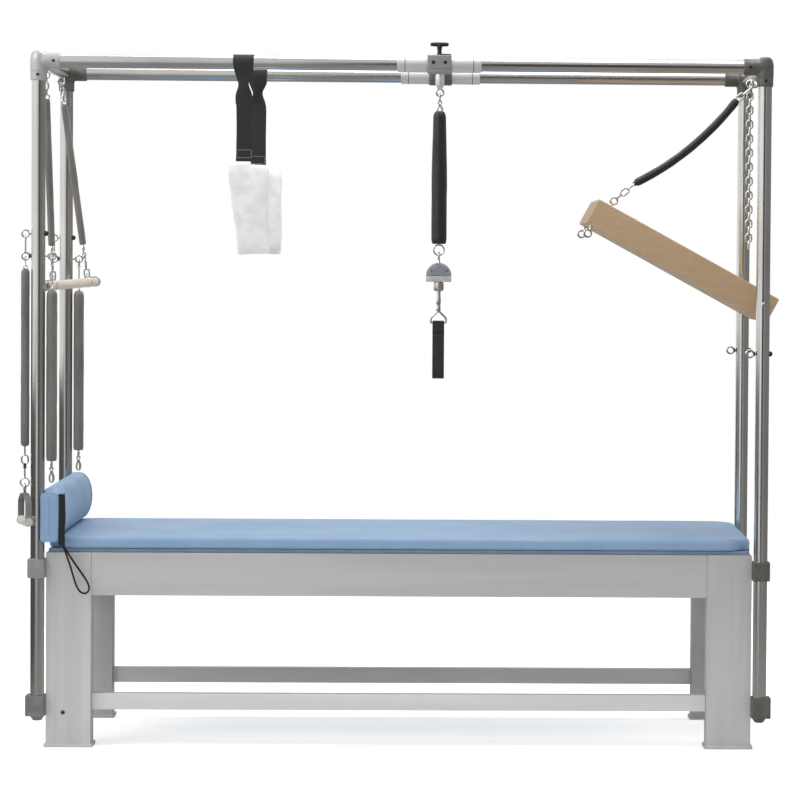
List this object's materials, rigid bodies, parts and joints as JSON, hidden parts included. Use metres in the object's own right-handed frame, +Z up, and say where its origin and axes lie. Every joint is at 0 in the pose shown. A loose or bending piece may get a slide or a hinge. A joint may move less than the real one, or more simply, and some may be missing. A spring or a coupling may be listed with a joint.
{
  "type": "pilates trapeze table",
  "caption": "Padded pilates table on a metal base with a tube frame over it, carrying a sliding trolley, springs, straps, cuffs, a roll-down bar and a tilting board.",
  "frame": {"origin": "on the floor, below the middle of the box that holds the whole object", "axes": "+X along the table from the end with the roll-down bar to the end with the board, +Y from front to back, +Z up"},
  "size_m": [2.3332, 0.7468, 2.1534],
  "materials": {
    "brushed_aluminium": "brushed",
    "deck": "painted matte",
    "blue_vinyl": "soft satin vinyl over foam",
    "polished_steel": "polished tube",
    "cast_grey": "smooth grey",
    "chrome": "bright",
    "dark_metal": "dark",
    "cream_plastic": "matte",
    "black_webbing": "woven",
    "white_fleece": "fleece",
    "grey_sleeve": "woven sleeve over a coil",
    "pale_wood": "smooth",
    "tan_wood": "sealed"
  },
  "bodies": {
    "frame": {"end_frame_left": "brushed_aluminium", "end_frame_right": "brushed_aluminium", "apron_front": "brushed_aluminium", "lower_rail_front": "brushed_aluminium", "apron_back": "brushed_aluminium", "lower_rail_back": "brushed_aluminium", "deck_board": "deck", "mattress": "blue_vinyl", "corner_fitting_front_left": "cast_grey", "upright_front_left": "polished_steel", "corner_fitting_back_left": "cast_grey", "upright_back_left": "polished_steel", "end_tube_left": "polished_steel", "corner_fitting_front_right": "cast_grey", "upright_front_right": "polished_steel", "corner_fitting_back_right": "cast_grey", "upright_back_right": "polished_steel", "end_tube_right": "polished_steel", "top_bar_front": "polished_steel", "top_bar_back": "polished_steel", "upper_clamp_front_left": "cast_grey", "lower_clamp_front_left": "cast_grey", "upper_clamp_back_left": "cast_grey", "lower_clamp_back_left": "cast_grey", "upper_clamp_front_right": "cast_grey", "lower_clamp_front_right": "cast_grey", "upper_clamp_back_right": "cast_grey", "lower_clamp_back_right": "cast_grey", "spring_anchor_front": "chrome", "eyebolt_right_front": "chrome", "spring_anchor_back": "chrome", "eyebolt_right_back": "chrome"},
    "trolley": {"trolley_sleeve_front": "brushed_aluminium", "trolley_block_front": "cast_grey", "trolley_sleeve_back": "brushed_aluminium", "trolley_block_back": "cast_grey", "trolley_crossbar": "chrome"},
    "knob": {"trolley_knob": "dark_metal"},
    "centre_spring": {"centre_spring": "black_webbing"},
    "sling_hanger": {"sling_hanger_block": "cast_grey", "sling_hanger_band": "cream_plastic"},
    "sling_link": {"sling_link": "chrome"},
    "sling_strap": {"sling_strap": "black_webbing"},
    "loop_strap_front": {"loop_strap_front": "black_webbing"},
    "fleece_cuff_front": {"fleece_cuff_front": "white_fleece"},
    "loop_strap_back": {"loop_strap_back": "black_webbing"},
    "fleece_cuff_back": {"fleece_cuff_back": "white_fleece"},
    "rolldown": {"rolldown_spring_front": "grey_sleeve", "rolldown_spring_back": "grey_sleeve", "rolldown_bar": "pale_wood"},
    "arm_spring": {"arm_spring": "grey_sleeve"},
    "arm_handle": {"arm_handle": "cream_plastic"},
    "leg_spring_front": {"leg_spring_front": "grey_sleeve"},
    "leg_spring_back": {"leg_spring_back": "grey_sleeve"},
    "board": {"swing_board": "tan_wood"},
    "board_spring": {"board_spring": "grey_sleeve"},
    "board_spring_hook": {"board_spring_hook": "chrome"},
    "safety_chain": {"safety_chain": "chrome"},
    "bolster": {"bolster": "blue_vinyl", "bolster_strap": "black_webbing"}
  },
  "joints": [
    {"name": "trolley_slide", "type": "slide", "parent": "frame", "child": "trolley", "axis": [1, 0, 0], "range_m": [-0.42, 0.42]},
    {"name": "knob_turn", "type": "hinge", "parent": "trolley", "child": "knob", "pos_m": [0.11585, -0.32157, 2.086], "axis": [0, 0, 1], "range_deg": [-180, 180]},
    {"name": "centre_spring_swing", "type": "hinge", "parent": "trolley", "child": "centre_spring", "pos_m": [0.11585, 0.00843, 2.0066], "axis": [1, 0, 0], "range_deg": [-35, 35]},
    {"name": "sling_swing", "type": "hinge", "parent": "centre_spring", "child": "sling_hanger", "pos_m": [0.11585, 0.00843, 1.514], "axis": [0, 1, 0], "range_deg": [-40, 40]},
    {"name": "sling_swivel", "type": "hinge", "parent": "sling_hanger", "child": "sling_link", "pos_m": [0.11585, 0.00843, 1.514], "axis": [0, 0, 1], "continuous": true},
    {"name": "sling_strap_swing", "type": "hinge", "parent": "sling_link", "child": "sling_strap", "pos_m": [0.11585, 0.00843, 1.2928], "axis": [1, 0, 0], "range_deg": [-50, 50]},
    {"name": "loop_strap_front_swing", "type": "hinge", "parent": "frame", "child": "loop_strap_front", "pos_m": [-0.47715, -0.32157, 2.086], "axis": [1, 0, 0], "range_deg": [-60, 20]},
    {"name": "fleece_cuff_front_swing", "type": "hinge", "parent": "loop_strap_front", "child": "fleece_cuff_front", "pos_m": [-0.45915, -0.32157, 1.7857], "axis": [1, 0, 0], "range_deg": [-15, 15]},
    {"name": "loop_strap_back_swing", "type": "hinge", "parent": "frame", "child": "loop_strap_back", "pos_m": [-0.47715, 0.33843, 2.086], "axis": [-1, 0, 0], "range_deg": [-60, 20]},
    {"name": "fleece_cuff_back_swing", "type": "hinge", "parent": "loop_strap_back", "child": "fleece_cuff_back", "pos_m": [-0.45915, 0.33843, 1.7857], "axis": [-1, 0, 0], "range_deg": [-15, 15]},
    {"name": "rolldown_swing", "type": "hinge", "parent": "frame", "child": "rolldown", "pos_m": [-1.09446, 0.00843, 2.04794], "axis": [0, 1, 0], "range_deg": [-70, 20]},
    {"name": "arm_spring_swing", "type": "hinge", "parent": "frame", "child": "arm_spring", "pos_m": [-1.13495, -0.32157, 1.485], "axis": [1, 0, 0], "range_deg": [-80, 0]},
    {"name": "arm_handle_swing", "type": "hinge", "parent": "arm_spring", "child": "arm_handle", "pos_m": [-1.13495, -0.32157, 0.7957], "axis": [1, 0, 0], "range_deg": [-45, 0]},
    {"name": "leg_spring_front_swing", "type": "hinge", "parent": "frame", "child": "leg_spring_front", "pos_m": [-1.05445, -0.32157, 1.4917], "axis": [0, 1, 0], "range_deg": [-75, 0]},
    {"name": "leg_spring_back_swing", "type": "hinge", "parent": "frame", "child": "leg_spring_back", "pos_m": [-1.05445, 0.33843, 1.4807], "axis": [0, 1, 0], "range_deg": [-75, 0]},
    {"name": "board_hinge", "type": "hinge", "parent": "frame", "child": "board", "pos_m": [1.10785, 0.00843, 1.363], "axis": [0, 1, 0], "range_deg": [-25, 0]},
    {"name": "board_spring_swing", "type": "hinge", "parent": "frame", "child": "board_spring", "pos_m": [1.10616, -0.01757, 2.04794], "axis": [0, 1, 0], "range_deg": [-7.6, 0]},
    {"name": "board_spring_stretch", "type": "slide", "parent": "board_spring", "child": "board_spring_hook", "axis": [-0.7687, 0, -0.6397], "range_m": [0, 0.2225]},
    {"name": "safety_chain_swing", "type": "hinge", "parent": "frame", "child": "safety_chain", "pos_m": [1.09626, 0.03443, 2.04995], "axis": [0, 1, 0], "range_deg": [-45, 45]},
    {"name": "bolster_slide", "type": "slide", "parent": "frame", "child": "bolster", "axis": [1, 0, 0], "range_m": [0, 1.9]}
  ],
  "couplings": [
    {"joint": "board_spring_swing", "follows": "board_hinge", "ratio": 0.2996},
    {"joint": "board_spring_stretch", "follows": "board_hinge", "m_per_rad": -0.50533}
  ]
}
